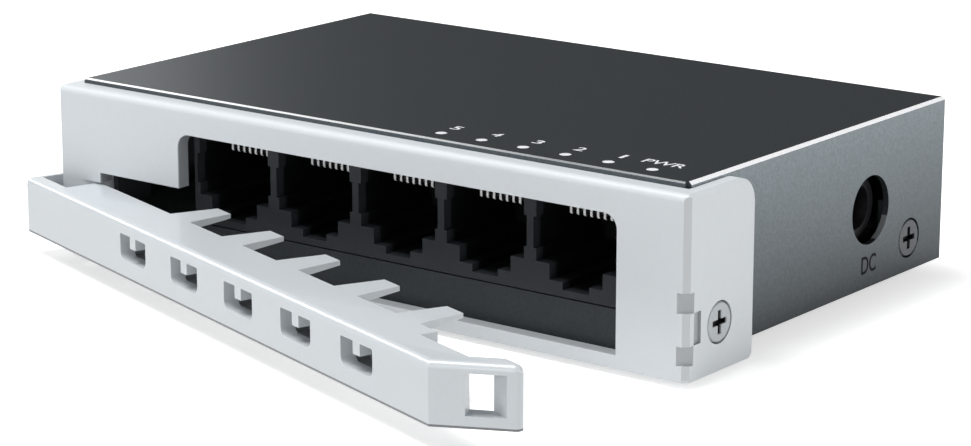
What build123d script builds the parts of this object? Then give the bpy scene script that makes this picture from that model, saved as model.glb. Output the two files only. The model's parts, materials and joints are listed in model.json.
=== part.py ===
from build123d import *
import math
import os

# Desktop network switch with five sockets behind a moulded front collar and a swinging cable lock bar.
# Millimetres. +X runs right along the front, +Y to the back, +Z up.
# The origin is on the table, under the middle of the collar's front face.

# Collar, the moulded front frame
foot_drop = 0.8
collar_width = 103.44
collar_height = 23.05
collar_depth = 14.3
front_wall = 2.0
ledge_depth = 2.85
ledge_height = 2.0
side_wall = 1.87
collar_floor = 1.6
collar_round = 1.0
collar_corner_break = 0.7
collar_left_break = 0.15
wrap_edge_break = 0.4
wrap_round_top = 3.5
wrap_round_bottom = 0.9

# Window in the collar
window_left_margin = 0.755
window_right_margin = 0.745
window_top = 19.2
window_round = 1.9
lip_height = 1.7
notch_inset = 7.29
notch_top = 11.7

# Sheet metal case
sheet = 0.8
cover_clearance = 0.1
case_front = 2.9
case_rear = 63.9
case_top = 23.77
edge_bevel = 0.4
front_bevel = 0.2
corner_relief = 0.6
case_fit = 0.1
flange_gap = 0.35
flange_height = 5.05
tray_side_height = 10.5
tab_overlap = 1.0

# Socket block
port_count = 5
port_pitch = 13.97
right_pillar = 10.975
block_gap = 0.45
block_depth = 18.0
block_foot = 6.8
block_height = 13.4
port_mouth = 12.1
port_waist = 12.95
port_shoulder = 8.0
port_latch = 4.0
latch_z = 7.7
shoulder_z = 8.65
mouth_z = 10.7
waist_z = 12.3
waist_top_z = 16.3
port_top_z = 18.9
port_deep = 14.5
contact_count = 8
contact_pitch = 1.02
contact_width = 0.45
contact_thick = 0.35
contact_leg_y = 6.3
contact_low_z = 16.3
contact_run = 6.5
contact_rise = 1.0

# Lock bar, drawn closed and then swung open about its hinge
hinge_inset = 3.52
hinge_y = 3.5
open_angle = 18.92
bar_proud = 5.15
bar_overhang = 1.78
bar_bottom = 2.4
bar_height = 7.6
bar_wall = 2.0
bar_bend_inset = 1.77
bar_end_angle = 45.0
bar_end_reach = 8.3
bar_end_wall = 2.6
shelf_thick = 1.9
shelf_gap = 0.55
shelf_step_gap = 0.45
bar_round = 0.9
bar_corner_round = 0.8
finger_shift = 0.7
slot_shift = 0.8
pocket_depth = 4.0
pocket_wall = 0.8
finger_reach = 6.55
finger_root = 5.5
finger_tip = 3.5
finger_root_thick = 1.05
finger_tip_thick = 0.6
slot_width = 7.05
slot_height = 3.44
slot_lift = 2.46
slot_round = 1.0
tooth_width = 1.55
tooth_drop = 1.55

# Hinge
hinge_pin_radius = 1.0
running_clearance = 0.06
ear_radius = 3.5
ear_thick = 2.0
ear_washer_radius = 2.4
knuckle_radius = 3.5
knuckle_bottom = 4.7
column_bottom = 10.3
pocket_reach = 3.8
post_wall = 1.2
post_gap = 0.25
axial_gap = 0.3
pin_length = 11.0
end_wall = 1.45
end_wall_length = 7.0
shelf_start = 8.8

# Latch on the right front corner
latch_cut = 1.5
latch_low_z = 2.05
latch_top_z = 11.05
lug_low_z = 4.47
lug_top_z = 8.5
lug_back_start = 1.5
lug_back_end = 3.0
lug_back_depth = 0.35
latch_window_start = 4.15
latch_window_end = 8.9
latch_window_throat = 2.75
latch_window_lift = 1.45
latch_window_height = 4.95

# Screws
screw_head_radius = 2.5
screw_head_height = 1.1
screw_shank_radius = 1.45
collar_screw_length = 5.6
case_screw_length = 3.6
screw_gap = 0.2
cross_width = 0.75
cross_span = 3.0
cross_depth = 0.8
collar_screw_y = 7.03
collar_screw_z = 6.11
left_screw_z = 16.2
case_screw_y = 55.43

# Power inlet
jack_y = 45.27
jack_z = 11.96
jack_hole_radius = 4.58
jack_nose_radius = 4.2
jack_bore_radius = 3.0
jack_bore_depth = 9.0
jack_pin_radius = 1.05
jack_body_width = 9.0
jack_inset = 1.3
jack_pin_recess = 1.6
jack_body_length = 11.5
jack_body_height = 10.2
jack_wall_gap = 0.4
jack_notch_clearance = 0.6
jack_pin_round = 0.5

# Status lights
light_count = 6
light_pitch = 6.46
light_inset = 9.33
light_y = 6.0
light_radius = 0.75
light_arm = 1.6
light_run_back = 22.9
light_bridge = 2.0
light_bridge_gap = 3.0
light_bridge_step = 0.3
light_hole_clearance = 0.05
led_length = 1.6
led_depth = 1.0
led_height = 0.8
led_gap = 0.2

# Circuit board and what stands on it
board_thick = 1.6
board_screw_clearance = 0.67
board_front_gap = 0.3
board_hinge_gap = 0.2
board_notch_gap = 1.0
board_rear = 60.5
standoff_radius = 2.6
standoff_inset = 2.95
standoff_floor = 0.4
standoff_front_y = 26.0
standoff_rear_y = 56.5
board_screw_radius = 2.4
board_screw_head = 1.3
board_screw_shank = 1.25
board_screw_reach = 2.0
board_hole_clearance = 0.15
chip_side = 14.0
chip_height = 1.0
chip_edge = 0.2
chip_y = 41.0
sink_side = 18.0
sink_base = 1.6
sink_height = 7.5
sink_fins = 7
sink_fin_thick = 0.9
transformer_y = 28.0
transformer_length = 9.2
transformer_depth = 6.4
transformer_height = 2.8
transformer_edge = 0.3
can_radius = 3.2
can_height = 8.0
can_round = 0.5
can_gap = 1.35
input_can_y = 45.0
output_can_y = 52.5
choke_side = 7.0
choke_height = 4.0
choke_inset = 3.05
choke_y = 36.5
choke_round = 1.5
regulator_length = 5.0
regulator_depth = 4.0
regulator_height = 1.2
regulator_gap = 3.5
regulator_y = 35.5
memory_length = 5.0
memory_depth = 4.0
memory_height = 1.5
memory_x = -19.5
memory_y = 46.0
crystal_length = 11.0
crystal_depth = 4.0
crystal_height = 3.0
crystal_round = 1.9
crystal_x = -17.5
crystal_y = 36.0

# Feet
foot_radius = 5.0
foot_inset = 10.75
foot_front_y = 21.0
foot_rear_y = 56.0
foot_round = 0.5

# Vents in the rear panel and in the floor
vent_count = 13
vent_pitch = 4.2
vent_width = 1.6
vent_length = 9.0
vent_z = 12.5

# How far a cut runs past the face that it opens
overrun = 1.0

# Heights measured from the table
base = foot_drop
collar_top = base + collar_height
tray_bottom = base + collar_floor
tray_floor = tray_bottom + sheet
cover_top = base + case_top

# Places measured from the middle
collar_half = collar_width / 2
inner_half = collar_half - side_wall
case_width = 2 * (inner_half - cover_clearance)
case_half = case_width / 2
tray_half = case_half - sheet - case_fit
board_half = collar_half - collar_screw_length - board_screw_clearance
standoff_x = board_half - standoff_inset
foot_x = case_half - foot_inset
hinge_x = hinge_inset - collar_half
notch_left = notch_inset - collar_half
bar_bend_x = collar_half - bar_bend_inset
jack_face = tray_half - jack_inset
jack_back = jack_face - jack_body_length
can_x = jack_back - can_radius - can_gap
choke_x = jack_back - choke_inset
regulator_x = choke_x - (choke_side + regulator_length) / 2 - regulator_gap

# Places worked out from the pieces in front
board_top = base + block_foot
board_bottom = board_top - board_thick
block_front = front_wall + block_gap
block_back = block_front + block_depth
block_top = board_top + block_height
block_half = port_count * port_pitch / 2
port_middle = collar_half - right_pillar - block_half
window_left = port_middle - block_half - window_left_margin
window_right = port_middle + block_half + window_right_margin
flange_front = front_wall + flange_gap
bar_left = -collar_half - bar_overhang
bar_front = -bar_proud
bar_low = base + bar_bottom
bar_top = bar_low + bar_height
shelf_back = block_front - shelf_gap
post_clear_y = hinge_y + pocket_reach + post_wall + post_gap
port_xs = [port_middle + (i - (port_count - 1) / 2) * port_pitch for i in range(port_count)]
light_first_x = collar_half - light_inset - (light_count - 1) * light_pitch
light_xs = [light_first_x + i * light_pitch for i in range(light_count)]


def block(x0, x1, y0, y1, z0, z1):
    """A box between two corners."""
    return Pos((x0 + x1) / 2, (y0 + y1) / 2, (z0 + z1) / 2) * Box(x1 - x0, y1 - y0, z1 - z0)


def upright(x, y, z0, z1, radius):
    """A vertical cylinder."""
    return Pos(x, y, (z0 + z1) / 2) * Cylinder(radius, z1 - z0)


def crosswise(x0, x1, y, z, radius):
    """A cylinder along X."""
    return Pos((x0 + x1) / 2, y, z) * Rot(0, 90, 0) * Cylinder(radius, x1 - x0)


def plan(points, z0, z1):
    """A prism on a plan outline."""
    return Pos(0, 0, z0) * extrude(make_face(Polyline(*points, close=True)), z1 - z0)


def profile_along_x(points, x0, x1):
    """A prism along X on an outline of Y and Z pairs."""
    face = make_face(Polyline(*[(x0, y, z) for y, z in points], close=True))
    return extrude(face, x1 - x0, dir=(1, 0, 0))


def corner_edges(solid, axis, **at):
    """Edges of a solid along an axis whose middle lies at the given coordinates."""
    picked = solid.edges().filter_by(axis)
    for name, value in at.items():
        picked = picked.filter_by(lambda e, n=name, v=value: abs(getattr(e.center(), n) - v) < 0.02)
    return picked


def save(shape, name):
    """Writes one sub-part."""
    export_step(shape, f"parts/{name}.step")


# Screws

def cross_screw(length, head_radius, head_height, shank_radius):
    """A countersunk-looking screw with a cross recess, head top at the origin, shank along -Z."""
    head = Pos(0, 0, -head_height / 2) * Cylinder(head_radius, head_height)
    head = chamfer(head.edges().sort_by(Axis.Z)[-1], 0.15)
    shank = Pos(0, 0, -(head_height + length) / 2) * Cylinder(shank_radius, length - head_height)
    shank = chamfer(shank.edges().sort_by(Axis.Z)[0], 0.3)
    recess = Pos(0, 0, -cross_depth / 2) * Box(cross_span, cross_width, cross_depth)
    recess += Pos(0, 0, -cross_depth / 2) * Box(cross_width, cross_span, cross_depth)
    return head + shank - recess


def side_screw(side, face_x, y, z, length):
    """A case screw driven in from the left (-1) or right (+1) side, head flush with the face."""
    screw = cross_screw(length, screw_head_radius, screw_head_height, screw_shank_radius)
    return Pos(side * face_x, y, z) * Rot(0, 90 * side, 0) * screw


def side_screw_hole(side, face_x, y, z):
    """Clearance hole with a seat for the head of a case screw."""
    seat_depth = screw_head_height + screw_gap
    head = crosswise(face_x - seat_depth, face_x + 1, y, z, screw_head_radius + screw_gap)
    shank = crosswise(face_x - collar_screw_length - 1, face_x + 1, y, z, screw_shank_radius + screw_gap)
    hole = head + shank
    return hole if side > 0 else mirror(hole, Plane.YZ)


# Front collar

def rim_wedge(side):
    """Sloping cut that breaks the top edge of one side wrap."""
    edge = side * collar_half
    corners = [
        (edge - side * wrap_edge_break, 0, collar_top + 0.01),
        (edge + side, 0, collar_top + 0.01),
        (edge + side, 0, collar_top - wrap_edge_break),
        (edge, 0, collar_top - wrap_edge_break),
    ]
    face = make_face(Polyline(*corners, close=True))
    return extrude(face, collar_depth + 1, dir=(0, 1, 0))


def collar_shell():
    """Front wall, floor and two short side wraps, open at the back and at the top."""
    outer = block(-collar_half, collar_half, 0, collar_depth, base, collar_top)
    outer = fillet(corner_edges(outer, Axis.X, Y=collar_depth, Z=collar_top), wrap_round_top)
    outer = fillet(corner_edges(outer, Axis.X, Y=collar_depth, Z=base), wrap_round_bottom)
    outer = chamfer(corner_edges(outer, Axis.Z, X=collar_half, Y=0), collar_corner_break)
    outer = chamfer(corner_edges(outer, Axis.Z, X=-collar_half, Y=0), collar_left_break)
    outer = fillet(corner_edges(outer, Axis.X, Y=0, Z=collar_top), collar_round)
    for side in (-1, 1):
        outer -= rim_wedge(side)
    ledge_low = collar_top - ledge_height
    inside = block(-inner_half, inner_half, front_wall, collar_depth + 1, base + collar_floor, ledge_low)
    inside += block(-inner_half, inner_half, ledge_depth, collar_depth + 1, ledge_low - 1, collar_top + 1)
    return outer - inside


def window_cut():
    """The wide window over the sockets with its lower extension to the left for the bar's shelf."""
    high = block(window_left, window_right, -1, front_wall + 1, base + lip_height, base + window_top)
    high = fillet(corner_edges(high, Axis.Y, Z=base + window_top), window_round)
    low = block(notch_left, window_left + 1, -1, front_wall + 1, base + lip_height, base + notch_top)
    return high + low


def hinge_pocket():
    """The space at the left front corner in which the bar's ear swings and its shelf passes the knuckle."""
    pocket_back = hinge_y + pocket_reach
    low = block(-collar_half - 1, notch_left, -1, pocket_back, base + lip_height, base + knuckle_bottom)
    front_right = block(hinge_x, notch_left, -1, hinge_y, base + knuckle_bottom, base + column_bottom)
    return low + (front_right - upright(hinge_x, hinge_y, base, base + collar_height, knuckle_radius))


def hinge_column():
    """The solid corner post that carries the upper end of the hinge pin."""
    post_back = hinge_y + pocket_reach + post_wall
    return block(-inner_half, notch_left, front_wall, post_back, base + knuckle_bottom, base + window_top)


def latch_recesses():
    """Angled seats across the right front corner, with the lug left standing between them."""
    edge = collar_half
    wedge = [
        (edge - latch_cut, 0),
        (edge - latch_cut, -overrun),
        (edge + overrun, -overrun),
        (edge + overrun, latch_cut + overrun),
    ]
    cut = plan(wedge, base + latch_low_z, base + lug_low_z)
    cut += plan(wedge, base + lug_top_z, base + latch_top_z)
    lug_z = (base + lug_low_z, base + lug_top_z)
    behind = block(edge - lug_back_depth, edge + overrun, lug_back_start, lug_back_end, *lug_z)
    return cut + behind


def front_collar():
    """The moulded front frame."""
    body = collar_shell() + hinge_column()
    body -= window_cut()
    body -= hinge_pocket()
    body += upright(hinge_x, hinge_y, base + collar_floor, bar_low - axial_gap, ear_washer_radius)
    body -= latch_recesses()
    body -= upright(hinge_x, hinge_y, base + axial_gap, base + axial_gap + pin_length, hinge_pin_radius)
    body -= side_screw_hole(1, collar_half, collar_screw_y, base + collar_screw_z)
    body -= side_screw_hole(-1, collar_half, collar_screw_y, base + left_screw_z)
    return body


def hinge_pin():
    """Steel pin of the lock bar, held in the collar's floor and in its corner post."""
    return upright(hinge_x, hinge_y, base + axial_gap, base + axial_gap + pin_length, hinge_pin_radius)


# Lock bar

def bar_outline(inset):
    """Plan outline of the bar's outer wall, from the left end round the bend to the latch end."""
    lean = math.radians(bar_end_angle)
    run = bar_end_reach / math.tan(lean)
    back = bar_front + bar_end_reach
    along = inset / math.sin(lean)
    inner_bend = (inset - bar_wall * math.cos(lean)) / math.sin(lean)
    return [
        (bar_left, bar_front),
        (bar_bend_x, bar_front),
        (bar_bend_x + run, back),
        (bar_bend_x + run - along, back),
        (bar_bend_x - inner_bend, bar_front + bar_wall),
        (bar_left, bar_front + bar_wall),
    ]


def bar_walls():
    """Front wall with its angled latch end, and the short wall at the left end."""
    walls = plan(bar_outline(bar_end_wall), bar_low, bar_top)
    end_back = bar_front + end_wall_length
    return walls + block(bar_left, bar_left + end_wall, bar_front, end_back, bar_low, bar_top)


def bar_shelf():
    """Top shelf: deep where the window lets it in, narrow in front of the right pillar."""
    left_in = bar_left + shelf_start
    right_in = window_right - shelf_gap
    pillar_back = -shelf_step_gap
    pillar_right = bar_bend_x + (pillar_back - bar_front) / math.tan(math.radians(bar_end_angle)) - 0.5
    outline = [
        (left_in, bar_front + 0.5),
        (bar_bend_x, bar_front + 0.5),
        (pillar_right, pillar_back),
        (right_in, pillar_back),
        (right_in, shelf_back),
        (left_in, shelf_back),
    ]
    return plan(outline, bar_top - shelf_thick, bar_top)


def finger(x):
    """One tapered finger that reaches into a socket above the plug's latch."""
    top = [
        (x - finger_root / 2, shelf_back - 0.5),
        (x + finger_root / 2, shelf_back - 0.5),
        (x + finger_tip / 2, shelf_back + finger_reach),
        (x - finger_tip / 2, shelf_back + finger_reach),
    ]
    body = plan(top, bar_top - shelf_thick, bar_top)
    far = shelf_back + finger_reach
    under = [
        (shelf_back - 0.4, bar_top - shelf_thick - 1),
        (shelf_back - 0.4, bar_top - finger_root_thick - 0.05),
        (far + 0.1, bar_top - finger_tip_thick),
        (far + 0.1, bar_top - shelf_thick - 1),
    ]
    return body - profile_along_x(under, x - finger_root, x + finger_root)


def slot_cut(x):
    """One opening in the front wall, with a small tooth left hanging from its top edge."""
    low = bar_low + slot_lift
    high = low + slot_height
    through = (bar_front - 1, bar_front + bar_wall + 0.2)
    hole = block(x - slot_width / 2, x + slot_width / 2, *through, low, high)
    hole = fillet(corner_edges(hole, Axis.Y, Z=low), slot_round)
    hole = fillet(corner_edges(hole, Axis.Y, Z=high), slot_round / 4)
    tooth = block(x - tooth_width / 2, x + tooth_width / 2, *through, high - tooth_drop, high + 1)
    return hole - tooth


def slot_pocket(x):
    """Blind box behind one opening, closed towards the sockets."""
    half = slot_width / 2
    low = bar_low + slot_lift
    back = bar_front + pocket_depth
    outer = half + pocket_wall
    front = bar_front + bar_wall - 0.1
    shell_z = (low - pocket_wall, bar_top - shelf_thick + 0.1)
    shell = block(x - outer, x + outer, front, back + pocket_wall, *shell_z)
    return shell - block(x - half, x + half, bar_front, back, low, low + slot_height)


def latch_window():
    """Opening through the angled end for the collar's lug, with one sloping side."""
    lean = bar_end_angle
    low = bar_low + latch_window_lift
    outline = [
        (latch_window_start, -1),
        (latch_window_end + 1.0, -1),
        (latch_window_end, 0),
        (latch_window_start + latch_window_throat, bar_end_wall),
        (latch_window_start + latch_window_throat, bar_end_wall + 1),
        (latch_window_start, bar_end_wall + 1),
    ]
    cut = plan(outline, low, low + latch_window_height)
    return Pos(bar_bend_x, bar_front, 0) * Rot(0, 0, lean) * cut


def hinge_ear():
    """Low ear that reaches back from the bar's left end to the pin."""
    top = bar_low + ear_thick
    ear_right = hinge_x + ear_radius
    outline = [
        (bar_left, bar_front),
        (ear_right, bar_front),
        (ear_right, hinge_y),
        (hinge_x - ear_radius, hinge_y),
        (bar_left + end_wall, bar_front + end_wall_length),
        (bar_left, bar_front + end_wall_length),
    ]
    ear = plan(outline, bar_low, top) + upright(hinge_x, hinge_y, bar_low, top, ear_radius)
    return ear - upright(hinge_x, hinge_y, bar_low - 1, top + 1, hinge_pin_radius + running_clearance)


def closed_bar():
    """The bar in its closed place."""
    bar = bar_walls() + bar_shelf() + hinge_ear()
    lean = math.radians(bar_end_angle)
    end_back = bar_front + bar_end_reach
    end_tip = (bar_bend_x + bar_end_reach / math.tan(lean), end_back, bar_low + bar_height / 2)
    left_tip = (bar_left, bar_front, bar_low + bar_height / 2)
    upright_edges = bar.edges().filter_by(Axis.Z)
    tips = [upright_edges.sort_by_distance(left_tip)[0], upright_edges.sort_by_distance(end_tip)[0]]
    bar = fillet(tips, bar_corner_round)
    mid_angled = (bar_bend_x + bar_end_reach / math.tan(lean) / 2, bar_front + bar_end_reach / 2, bar_top)
    top_edges = bar.edges().filter_by(lambda e: abs(e.center().Z - bar_top) < 0.01)
    mid_front = (0, bar_front, bar_top)
    rims = [top_edges.sort_by_distance(place)[0] for place in (mid_front, mid_angled)]
    bar = fillet(rims, bar_round)
    for x in port_xs:
        bar += finger(x + finger_shift)
        bar -= slot_cut(x + slot_shift)
        bar += slot_pocket(x + slot_shift)
    return bar - latch_window()


def lock_bar():
    """The bar as it stands, swung open about its hinge."""
    hinge = Axis((hinge_x, hinge_y, 0), (0, 0, 1))
    return closed_bar().rotate(hinge, -open_angle)


# Sheet metal case

def top_cover():
    """Folded cover: top plate and two sides, with bright cut edges."""
    outer = block(-case_half, case_half, case_front, case_rear, tray_bottom, cover_top)
    for x in (-case_half, case_half):
        outer = chamfer(corner_edges(outer, Axis.Y, X=x, Z=cover_top), edge_bevel)
    outer = chamfer(corner_edges(outer, Axis.X, Y=case_rear, Z=cover_top), edge_bevel / 2)
    outer = chamfer(corner_edges(outer, Axis.X, Y=case_front, Z=cover_top), front_bevel)
    hollow = block(-case_half + sheet, case_half - sheet, 0, case_rear + 1, 0, cover_top - sheet)
    cover = outer - hollow
    cover -= block(-case_half - 1, -case_half + 2, 0, post_clear_y, 0, cover_top - sheet)
    relief_back = case_front + corner_relief
    cover -= block(case_half - corner_relief, case_half + overrun, 0, relief_back, 0, cover_top + overrun)
    for side in (-1, 1):
        cover -= side_screw_hole(side, case_half, case_screw_y, base + collar_screw_z)
    through = (case_half - sheet - overrun, case_half + overrun)
    cover -= crosswise(*through, collar_screw_y, base + collar_screw_z, screw_shank_radius + screw_gap)
    cover -= crosswise(*through, jack_y, base + jack_z, jack_hole_radius)
    for x in light_xs:
        hole_radius = light_radius + light_hole_clearance
        cover -= upright(x, light_y, cover_top - sheet - overrun, cover_top + overrun, hole_radius)
    return cover


def vent_row(z0, y0, count):
    """A row of upright slots through the rear panel."""
    cuts = []
    depth = (y0 - sheet - overrun, y0 + overrun)
    height = (z0 - vent_length / 2, z0 + vent_length / 2)
    for i in range(count):
        x = (i - (count - 1) / 2) * vent_pitch
        cuts.append(block(x - vent_width / 2, x + vent_width / 2, *depth, *height))
    return cuts


def base_tray():
    """Folded tray: floor, low sides, short front flange under the sockets and full rear panel."""
    back = case_rear
    tray = block(-tray_half, tray_half, flange_front, back, tray_bottom, tray_floor)
    flange_top = tray_bottom + flange_height
    tray += block(-tray_half, tray_half, flange_front, flange_front + sheet, tray_bottom, flange_top)
    for side in (-1, 1):
        x0, x1 = sorted((side * tray_half, side * (tray_half - sheet)))
        tray += block(x0, x1, flange_front, back, tray_bottom, tray_bottom + tray_side_height)
    tray += block(-tray_half, tray_half, back - sheet, back, tray_bottom, cover_top - sheet - case_fit)
    tab_x = notch_left + post_gap
    tray -= block(-tray_half - overrun, tab_x, 0, post_clear_y, 0, cover_top)
    tab_top = base + notch_top + tab_overlap
    tray += block(tab_x, tab_x + sheet, flange_front, post_clear_y, tray_bottom, tab_top)
    notch = jack_nose_radius + jack_notch_clearance
    through = (tray_half - sheet - overrun, tray_half + overrun)
    tray -= block(*through, jack_y - notch, jack_y + notch, board_bottom, cover_top)
    for side in (-1, 1):
        tray -= side_screw_hole(side, case_half, case_screw_y, base + collar_screw_z)
    tray -= crosswise(*through, collar_screw_y, base + collar_screw_z, screw_shank_radius)
    for cut in vent_row(base + vent_z, back, vent_count):
        tray -= cut
    return tray


# Electronics

def circuit_board():
    """Green board with its corner cut away for the hinge."""
    front = flange_front + sheet + board_front_gap
    board = block(-board_half, board_half, front, board_rear, board_bottom, board_top)
    notch_right = notch_left + post_gap + sheet + board_hinge_gap
    notch_back = post_clear_y + board_notch_gap
    board -= block(-board_half - overrun, notch_right, 0, notch_back, 0, board_top + overrun)
    for x in (-standoff_x, standoff_x):
        for y in (standoff_front_y, standoff_rear_y):
            board -= upright(x, y, 0, board_top + overrun, board_screw_shank + board_hole_clearance)
    return board


def board_standoffs():
    """Four pressed pillars between the tray and the board."""
    pillars = []
    for x in (-standoff_x, standoff_x):
        for y in (standoff_front_y, standoff_rear_y):
            pillar = upright(x, y, tray_floor, board_bottom, standoff_radius)
            bore = upright(x, y, tray_floor + standoff_floor, board_bottom + overrun, board_screw_shank)
            pillars.append(pillar - bore)
    return Compound(children=pillars)


def board_screws():
    """Four pan-head screws that hold the board to its pillars."""
    screws = []
    length = board_screw_head + board_thick + board_screw_reach
    for x in (-standoff_x, standoff_x):
        for y in (standoff_front_y, standoff_rear_y):
            screw = cross_screw(length, board_screw_radius, board_screw_head, board_screw_shank)
            screws.append(Pos(x, y, board_top + board_screw_head) * screw)
    return Compound(children=screws)


def port_opening(x):
    """Mouth and cavity of one socket, stepped for the plug and its latch."""
    steps = [
        (port_latch, base + latch_z, base + shoulder_z),
        (port_shoulder, base + shoulder_z, base + mouth_z),
        (port_mouth, base + mouth_z, base + waist_z),
        (port_waist, base + waist_z, base + waist_top_z),
        (port_mouth, base + waist_top_z, base + port_top_z),
    ]
    cavity = None
    for width, low, high in steps:
        depth = (block_front - overrun, block_front + port_deep)
        piece = block(x - width / 2, x + width / 2, *depth, low, high)
        cavity = piece if cavity is None else cavity + piece
    return cavity


def port_block():
    """One moulding with five sockets side by side."""
    left = port_middle - block_half
    right = port_middle + block_half
    body = block(left, right, block_front, block_back, board_top, block_top)
    for x in port_xs:
        body -= port_opening(x)
    return body


def port_contacts(x):
    """Eight spring wires that hang a little from the roof of one socket and then run back."""
    roof = base + port_top_z
    leg = contact_leg_y
    low = base + contact_low_z
    t = contact_thick
    outline = [
        (leg, roof),
        (leg, low + t / 2),
        (leg + t / 2, low),
        (leg + contact_run, low + contact_rise),
        (leg + contact_run, low + contact_rise + t),
        (leg + t, low + t),
        (leg + t, roof),
    ]
    wires = []
    for i in range(contact_count):
        middle = x + (i - (contact_count - 1) / 2) * contact_pitch
        wires.append(profile_along_x(outline, middle - contact_width / 2, middle + contact_width / 2))
    return Compound(children=wires)


def light_guide():
    """Clear moulding that carries six status lights from the board up to the top plate."""
    low = block_top + light_hole_clearance
    high = low + light_arm
    pipe_top = cover_top - light_hole_clearance
    arm_half = light_arm / 2
    led_clear = board_top + led_height + led_gap
    guide = None
    for x in light_xs:
        pipe = upright(x, light_y, low, pipe_top, light_radius)
        run = block(x - arm_half, x + arm_half, light_y - arm_half, light_run_back, low, high)
        drop_y = (light_run_back - light_arm, light_run_back)
        drop = block(x - arm_half, x + arm_half, *drop_y, led_clear, high)
        arm = pipe + run + drop
        guide = arm if guide is None else guide + arm
    bridge_y = (light_y + light_bridge_gap, light_y + light_bridge_gap + light_bridge)
    bridge = block(light_xs[0], light_xs[-1], *bridge_y, low, high - light_bridge_step)
    return guide + bridge


def chip_at(x, y, length, depth, height):
    """A flat component on the board about a middle point."""
    return Pos(x, y, board_top + height / 2) * Box(length, depth, height)


def status_leds():
    """Six small light-emitting chips on the board under the guide."""
    y = light_run_back - light_arm / 2
    return Compound(children=[chip_at(x, y, led_length, led_depth, led_height) for x in light_xs])


def dc_jack():
    """Power inlet moulding with its round nose behind the hole in the case."""
    body_front = jack_face - sheet - jack_wall_gap
    half = jack_body_width / 2
    body_top = board_top + jack_body_height
    body = block(jack_back, body_front, jack_y - half, jack_y + half, board_top, body_top)
    body += crosswise(body_front - jack_wall_gap, jack_face, jack_y, base + jack_z, jack_nose_radius)
    bore = (jack_face - jack_bore_depth, jack_face + overrun)
    return body - crosswise(*bore, jack_y, base + jack_z, jack_bore_radius)


def dc_jack_pin():
    """Centre pin of the power inlet."""
    reach = (jack_face - jack_bore_depth, jack_face - jack_pin_recess)
    pin = crosswise(*reach, jack_y, base + jack_z, jack_pin_radius)
    return fillet(pin.edges().sort_by(Axis.X)[-1], jack_pin_round)


def switch_chip():
    """Square switch controller with a thin edge chamfer."""
    chip = chip_at(0, chip_y, chip_side, chip_side, chip_height)
    return chamfer(chip.faces().sort_by(Axis.Z)[-1].edges(), chip_edge)


def heat_sink():
    """Extruded heat sink with straight fins on the switch controller."""
    low = board_top + chip_height
    half = sink_side / 2
    sink = block(-half, half, chip_y - half, chip_y + half, low, low + sink_base)
    gap = (sink_side - sink_fin_thick) / (sink_fins - 1)
    for i in range(sink_fins):
        x = -half + i * gap
        sink += block(x, x + sink_fin_thick, chip_y - half, chip_y + half, low, low + sink_height)
    return sink


def line_transformers():
    """Five isolation transformers, one behind each socket."""
    parts = []
    for x in port_xs:
        part = chip_at(x, transformer_y, transformer_length, transformer_depth, transformer_height)
        parts.append(chamfer(part.faces().sort_by(Axis.Z)[-1].edges(), transformer_edge))
    return Compound(children=parts)


def round_can(y):
    """A small electrolytic capacitor with a rounded top, behind the power inlet."""
    can = upright(can_x, y, board_top, board_top + can_height, can_radius)
    return fillet(can.edges().sort_by(Axis.Z)[-1], can_round)


def power_inductor():
    """Square choke of the power stage with rounded corners."""
    choke = chip_at(choke_x, choke_y, choke_side, choke_side, choke_height)
    return fillet(choke.edges().filter_by(Axis.Z), choke_round)


def regulator_chip():
    """Power controller chip beside the choke."""
    return chip_at(regulator_x, regulator_y, regulator_length, regulator_depth, regulator_height)


def memory_chip():
    """Small settings memory beside the switch controller."""
    return chip_at(memory_x, memory_y, memory_length, memory_depth, memory_height)


def clock_crystal():
    """Metal can crystal with rounded ends."""
    can = chip_at(crystal_x, crystal_y, crystal_length, crystal_depth, crystal_height)
    return fillet(can.edges().filter_by(Axis.Z), crystal_round)


def rubber_foot(x, y):
    """Round stick-on foot under the tray."""
    foot = upright(x, y, 0, tray_bottom, foot_radius)
    return fillet(foot.edges().sort_by(Axis.Z)[0], foot_round)


def build():
    """Makes every sub-part and writes it."""
    os.makedirs("parts", exist_ok=True)
    save(front_collar(), "front_collar")
    save(hinge_pin(), "hinge_pin")
    save(lock_bar(), "lock_bar")
    save(top_cover(), "top_cover")
    save(base_tray(), "base_tray")
    save(circuit_board(), "circuit_board")
    save(board_standoffs(), "board_standoffs")
    save(board_screws(), "board_screws")
    save(port_block(), "port_block")
    for i, x in enumerate(reversed(port_xs)):
        save(port_contacts(x), f"port_contacts_{i + 1}")
    save(light_guide(), "light_guide")
    save(status_leds(), "status_leds")
    save(dc_jack(), "dc_jack")
    save(dc_jack_pin(), "dc_jack_pin")
    save(switch_chip(), "switch_chip")
    save(heat_sink(), "heat_sink")
    save(line_transformers(), "line_transformers")
    save(round_can(input_can_y), "input_capacitor")
    save(round_can(output_can_y), "output_capacitor")
    save(power_inductor(), "power_inductor")
    save(regulator_chip(), "regulator_chip")
    save(memory_chip(), "memory_chip")
    save(clock_crystal(), "clock_crystal")
    low_z = base + collar_screw_z
    high_z = base + left_screw_z
    save(side_screw(1, collar_half, collar_screw_y, low_z, collar_screw_length), "collar_screw_right")
    save(side_screw(-1, collar_half, collar_screw_y, high_z, collar_screw_length), "collar_screw_left")
    save(side_screw(1, case_half, case_screw_y, low_z, case_screw_length), "case_screw_right")
    save(side_screw(-1, case_half, case_screw_y, low_z, case_screw_length), "case_screw_left")
    for side, x in (("left", -foot_x), ("right", foot_x)):
        for end, y in (("front", foot_front_y), ("rear", foot_rear_y)):
            save(rubber_foot(x, y), f"foot_{end}_{side}")


build()
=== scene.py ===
import json
import logging
import math
from dataclasses import dataclass, field
from enum import Enum
from typing import Union

import bpy
from mathutils import Matrix, Vector


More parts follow.
